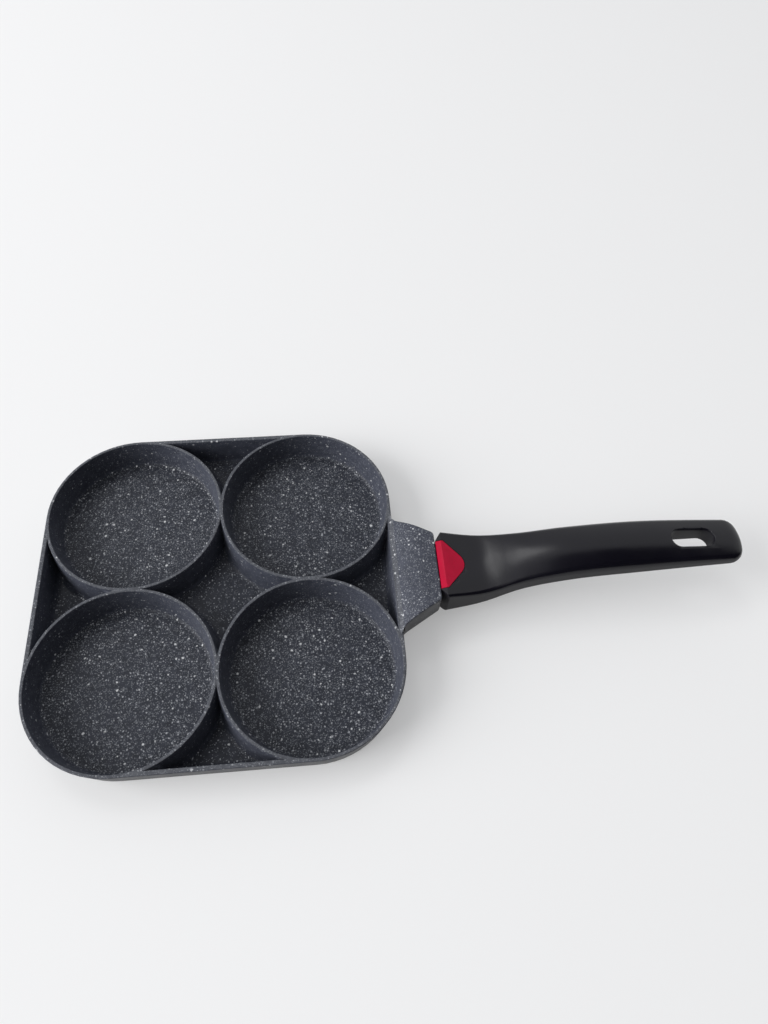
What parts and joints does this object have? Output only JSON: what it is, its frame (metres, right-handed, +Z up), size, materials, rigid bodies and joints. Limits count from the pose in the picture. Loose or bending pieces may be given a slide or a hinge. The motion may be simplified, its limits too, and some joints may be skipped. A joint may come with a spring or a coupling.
{
  "type": "egg pan",
  "caption": "Shallow square cast pan with round egg cups and grease pockets between them, on a cast bracket with a curved moulded handle, a red root insert and a hanging slot.",
  "frame": {"origin": "middle of the flat base, midway between the four cups, on the surface that the pan stands on", "axes": "+X along the handle from the pan to the hanging slot, +Z up out of the cups"},
  "size_m": [0.375, 0.1898, 0.0443],
  "materials": {
    "coated_aluminium": "dark non-stick coat with pale stone speckle, satin",
    "black_phenolic": "satin black moulded phenolic",
    "red_plastic": "satin crimson",
    "zinc_steel": "zinc plated"
  },
  "bodies": {
    "root": {"pan_body": "coated_aluminium", "handle": "black_phenolic", "handle_root_insert": "red_plastic", "flat_washer": "zinc_steel", "spring_washer": "zinc_steel", "handle_screw": "zinc_steel"}
  },
  "joints": []
}
